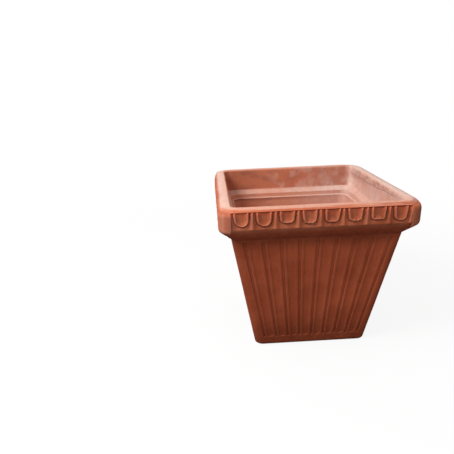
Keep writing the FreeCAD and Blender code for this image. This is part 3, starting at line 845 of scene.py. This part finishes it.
def pressFace(x, half, height, place, wavy, quarter):
    inRow = withinRow(x, mix(*wear["faceEnds"], fade(height, *wear["faceEndHeights"])))
    recess = mix(wear["hemRecess"], wear["recess"], fade(height, *wear["recessHeights"]))
    recess += wear["hemWear"] * fade(height, *wear["hemWearHeights"])
    recess += wear["underLip"] * fade(height, *wear["underLipHeights"])
    raised = friezeHeight(x, height, quarter) * fade(height, *frieze["footHeights"]) if inRow > 0 else 0
    line = fade(place.x, *wear["lineAcross"]) * fade(height, *wear["lineHeights"]) * (1 - inRow)
    wavy *= mix(1, wear["lipWaves"], fade(height, wear["lipCalmFrom"], rim["underLip"]))
    worn = cornerWear(x, half, height, place) + hemRounding(height, inRow)
    worn += rolledLip(x, half, height, place)
    return wavy - wear["standBack"] - inRow * max(recess - raised, wear["leastRecess"]) - line - worn


def pressRim(x, share, strip, row, place, quarter):
    # how far one point of the rim is lifted off its plain section
    half, height, corner, flat, zone = row
    if zone == "seam":
        return 0, 0
    wavy = handMade(place) * fade(height, *wear["calmHeights"])
    if zone == "cove":
        return pressCove(x, half, height, place, wavy), 0
    if zone in ("face", "lip") and height < rim["underLip"]:
        return pressFace(x, half, height, place, wavy, quarter), 0
    if zone == "lip":
        worn = cornerWear(x, half, height, place) + rolledLip(x, half, height, place)
        return wavy * wear["lipWaves"] - wear["standBack"] - worn, 0
    if zone == "top":
        wave = wear["topWaves"] * ripple(*place, wear["topWaveSize"], seeds["rimTop"])
        flush = min(0, wave - wear["topStandBack"])
        return flush - rolledOff(half, place) - cornerWear(x, half, height, place), 0
    if zone == "throat":
        return wear["throatWaves"] * wavy, 0
    if zone == "mouth" and sides[quarter] == "right":
        split = crack["depth"] * max(0, 1 - abs(place.z - crackHeight(place.y)) / crack["width"])
        return wavy * wear["mouthWaves"] - split * crackReach(place.y), 0
    return wavy * wear["mouthWaves"], 0


def outerRimRows():
    # up the cove, round the hem, up the face and over the lip
    rimHalf, rimCorner, flat = pot["rimHalf"], pot["rimCorner"], rim["flat"]
    rows = []
    for step in range(rim["coveSteps"] + 1):
        share = step / rim["coveSteps"]
        hollow = rim["coveHollow"] * math.sin(math.pi * share)
        half = mix(pot["neckHalf"], rim["coveTop"][0], share) + rim["coveFacing"][0] * hollow
        height = mix(pot["neck"], rim["coveTop"][1], share) + rim["coveFacing"][1] * hollow
        corner = mix(pot["bodyCorner"], rim["coveTopCorner"], share)
        zone = "cove" if step else "seam"
        rows.append((half, height, corner, mix(rim["coveFlat"], flat, share), zone))
    rows += [(half, height, half - (rimHalf - rimCorner), flat, "face") for half, height in rim["hem"]]
    for step in range(int((rim["lipFrom"] - rim["face"]) / rim["gridStep"]) + 1):
        rows.append((rimHalf, rim["face"] + step * rim["gridStep"], rimCorner, flat, "face"))
    lipInner = rimHalf - rim["lipRound"]
    for turn in rim["lipTurns"]:
        half = lipInner + rim["lipRound"] * math.cos(math.radians(turn))
        height = rim["lipFrom"] + rim["lipRound"] * math.sin(math.radians(turn))
        corner = mix(rim["lipCorner"], rimCorner, (half - lipInner) / rim["lipRound"])
        rows.append((half, height, corner, flat, "lip"))
    return rows


def innerRimRows():
    # along the top, down the mouth, over the ledge and down the throat
    mouth, mouthCorner, innerFlat = pot["mouthHalf"], pot["mouthCorner"], rim["innerFlat"]
    lipInner, throat = pot["rimHalf"] - rim["lipRound"], pot["throatHalf"]
    rows = []
    for half in rim["top"]:
        share = (lipInner - half) / (lipInner - mouth)
        corner = mix(rim["lipCorner"], mouthCorner, share)
        rows.append((half, pot["top"], corner, mix(rim["flat"], innerFlat, share), "top"))
    for turn in rim["mouthTurns"]:
        half = rim["mouthRoundAt"][0] - rim["mouthRound"] * math.sin(math.radians(turn))
        height = rim["mouthRoundAt"][1] + rim["mouthRound"] * math.cos(math.radians(turn))
        rows.append((half, height, mouthCorner, innerFlat, "mouth"))
    rows += [(mouth, height, mouthCorner, innerFlat, "mouth") for height in rim["mouth"]]
    for half, height in rim["ledge"]:
        share = (half - pot["ledgeHalf"]) / (mouth - pot["ledgeHalf"])
        corner = mix(pot["wellCorner"], mouthCorner, share)
        rows.append((half, height, corner, mix(rim["ledgeFlat"], innerFlat, share), "ledge"))
    for half, height in rim["throat"]:
        rows.append((half, height, pot["wellCorner"], half - rim["throatStrip"], "throat"))
    rows.append((throat, pot["neck"], pot["wellCorner"], throat - rim["throatStrip"], "seam"))
    return rows


def makeRims():
    columns = int(2 * rim["flat"] / rim["gridStep"])
    flats = [2 * column / columns - 1 for column in range(columns + 1)]
    stations = makeStations(flats, rim["cornerSteps"], rim["cornerTurns"])
    for quarter, side in enumerate(sides):
        bm = layGrid(outerRimRows() + innerRimRows(), stations, pressRim, quarter)
        closeSkin(bm)
        piece = finishPiece(bm, f"moulded_rim_{side}", rimClay)
        setOnPot(piece, f"rim_{side}")
    print("rim moulded")


makeRims()

floorSlab = {
    "thickness": 22, "hole": 15, "directions": 144,
    "holeHeights": [1.2, 7, 14], "holeFootRound": 1.2,
    "holeEdge": [(0, 1.6, 0), (0.5, 0.5, 0), (2, 0, 2)],   # out from the hole, down, and added radius
    "top": [(22, 21), (30, 26), (42, 32), (56, 34), (70, 32), (84, 27), (96, 21), (105.8, 18)],
    "side": [(103.9, 11, 18), (102, 0, 18)],
    "underside": [(80, 30), (50, 32), (28, 24)],
    "waves": 0.5, "waveSize": 30, "wavesDown": 0.3, "wavyUpTo": 100,
}


def floorRows():
    # half width, height and corner radius, from the hole's foot round the section and back to it
    hole, thick = floorSlab["hole"], floorSlab["thickness"]
    rows = [(hole, height, hole) for height in floorSlab["holeHeights"]]
    rows += [(hole + out, thick - down, hole + added) for out, down, added in floorSlab["holeEdge"]]
    rows += [(half, thick, corner) for half, corner in floorSlab["top"]] + floorSlab["side"]
    rows += [(half, 0, corner) for half, corner in floorSlab["underside"]]
    return rows + [(hole + floorSlab["holeFootRound"], 0, hole + floorSlab["holeFootRound"])]


def reachTo(half, corner, angle):
    # from the middle to the edge of a rounded square, in one direction
    wide, slim = sorted((abs(math.cos(angle)), abs(math.sin(angle))), reverse=True)
    straight = half / wide
    inner = half - corner
    if slim * straight <= inner:
        return straight
    along = inner * (wide + slim)
    return along + math.sqrt(max(along * along - 2 * inner * inner + corner * corner, 0))


def makeFloor():
    rows, count = floorRows(), floorSlab["directions"]
    bm = bmesh.new()
    bmesh.ops.create_grid(bm, x_segments=count, y_segments=len(rows), size=1)
    bm.verts.ensure_lookup_table()
    layers = {paint: bm.verts.layers.float.new(paint) for paint in paints}
    for number, vertex in enumerate(bm.verts):
        half, height, corner = rows[number // (count + 1) % len(rows)]
        angle = math.radians(360) * (number % (count + 1) % count) / count
        reach = reachTo(half, corner, angle)
        x, y = reach * math.cos(angle), reach * math.sin(angle)
        uneven = 0
        if height == floorSlab["thickness"] and half < floorSlab["wavyUpTo"]:
            waves = floorSlab["waves"] * ripple(x, y, height, floorSlab["waveSize"], seeds["floor"])
            uneven = waves - floorSlab["wavesDown"]
        vertex.co = Vector((x, y, height + uneven)) * mm
        vertex[layers["inside"]] = 1
    closeSkin(bm)
    piece = finishPiece(bm, "well_floor", floorClay)
    setOnPot(piece, "floor")
    print("floor laid")


makeFloor()

# in metres
studio = {
    "floorDrop": 0.0006, "floorSize": 6, "shadowShare": 0.12,
    "shadowTo": 0.45, "whiteFrom": 1.5,      # how far from the pot the floor turns to plain white
    "groundTone": 0.15, "paperTone": 0.9, "ambient": 0.62,
    "keyTowards": (-0.64, -0.30, 0.70), "keyAim": (0, 0, 0.18),
    "keyDistance": 2.2, "keySize": 1.0, "keyPower": 39,
}


def makeBackground():
    # plain white where the camera sees it, softer light for the pot
    world = bpy.data.worlds.new("studio_air")
    bpy.context.scene.world = world
    world.use_nodes = True
    tree = world.node_tree
    tree.nodes.remove(tree.nodes["Background"])
    path = tree.nodes.new("ShaderNodeLightPath").outputs
    seen = {0: path["Is Camera Ray"], 1: path["Is Transmission Ray"]}
    seen = addNode(tree, "Math", seen, operation="MAXIMUM")
    plain, shown = [addNode(tree, "Background", {"Color": (1, 1, 1, 1), "Strength": strength})
                    for strength in (studio["ambient"], 1)]
    air = addNode(tree, "MixShader", {"Fac": seen, 1: plain, 2: shown})
    tree.links.new(air, tree.nodes["World Output"].inputs["Surface"])


def makePaper():
    # a dull grey to the pot; to the camera it glows white, but for the share that takes the shadow
    paper = bpy.data.materials.new("white_paper")
    paper.use_nodes = True
    tree = paper.node_tree
    tree.nodes.remove(tree.nodes["Principled BSDF"])
    grey, pale = [addNode(tree, "BsdfDiffuse", {"Color": (tone, tone, tone, 1)})
                  for tone in (studio["groundTone"], studio["paperTone"])]
    glow = addNode(tree, "Emission", {"Strength": 1})
    spot = tree.nodes.new("ShaderNodeTexCoord").outputs["Object"]
    distance = addNode(tree, "VectorMath", {0: spot}, "Value", operation="LENGTH")
    limits = {"Value": distance, 1: studio["shadowTo"], 2: studio["whiteFrom"],
              3: 1 - studio["shadowShare"], 4: 1}
    whiteness = addNode(tree, "MapRange", limits, "Result", interpolation_type="SMOOTHSTEP")
    seen = addNode(tree, "MixShader", {"Fac": whiteness, 1: pale, 2: glow})
    path = tree.nodes.new("ShaderNodeLightPath").outputs
    sheet = addNode(tree, "MixShader", {"Fac": path["Is Camera Ray"], 1: grey, 2: seen})
    tree.links.new(sheet, tree.nodes["Material Output"].inputs["Surface"])
    return paper


def makeGround():
    bm = bmesh.new()
    bmesh.ops.create_grid(bm, x_segments=2, y_segments=2, size=studio["floorSize"])
    bmesh.ops.translate(bm, vec=(0, 0, -studio["floorDrop"]), verts=bm.verts)
    mesh = bpy.data.meshes.new("studio_ground")
    bm.to_mesh(mesh)
    bm.free()
    mesh.materials.append(makePaper())
    ground = bpy.data.objects.new("studio_ground", mesh)
    bpy.context.scene.collection.objects.link(ground)


def makeKeyLight():
    lamp = bpy.data.lights.new("key_light", "AREA")
    lamp.shape = "DISK"
    lamp.size = studio["keySize"]
    lamp.energy = studio["keyPower"]
    light = bpy.data.objects.new("key_light", lamp)
    bpy.context.scene.collection.objects.link(light)
    direction = Vector(studio["keyTowards"]).normalized()
    light.location = Vector(studio["keyAim"]) + direction * studio["keyDistance"]
    light.rotation_euler = direction.to_track_quat("Z", "Y").to_euler()


makeBackground()
makeGround()
makeKeyLight()

viewpoint = {
    "place": (-0.20804, -0.95185, 0.57956), "swing": -1.938, "down": 19.246, "roll": -2.140,
    "lens": 33.461, "sensor": 36, "clipStart": 0.01,
}


def placeCamera():
    lens = bpy.data.cameras.new("viewpoint")
    lens.lens = viewpoint["lens"]
    lens.sensor_width = viewpoint["sensor"]
    lens.clip_start = viewpoint["clipStart"]
    camera = bpy.data.objects.new("viewpoint", lens)
    bpy.context.scene.collection.objects.link(camera)
    camera.matrix_world = (Matrix.Translation(viewpoint["place"])
                           @ Matrix.Rotation(math.radians(viewpoint["swing"]), 4, "Z")
                           @ Matrix.Rotation(math.radians(90 - viewpoint["down"]), 4, "X")
                           @ Matrix.Rotation(math.radians(viewpoint["roll"]), 4, "Z"))
    bpy.context.scene.camera = camera


placeCamera()
bpy.context.scene.view_settings.view_transform = "Standard"
print("studio and camera ready")
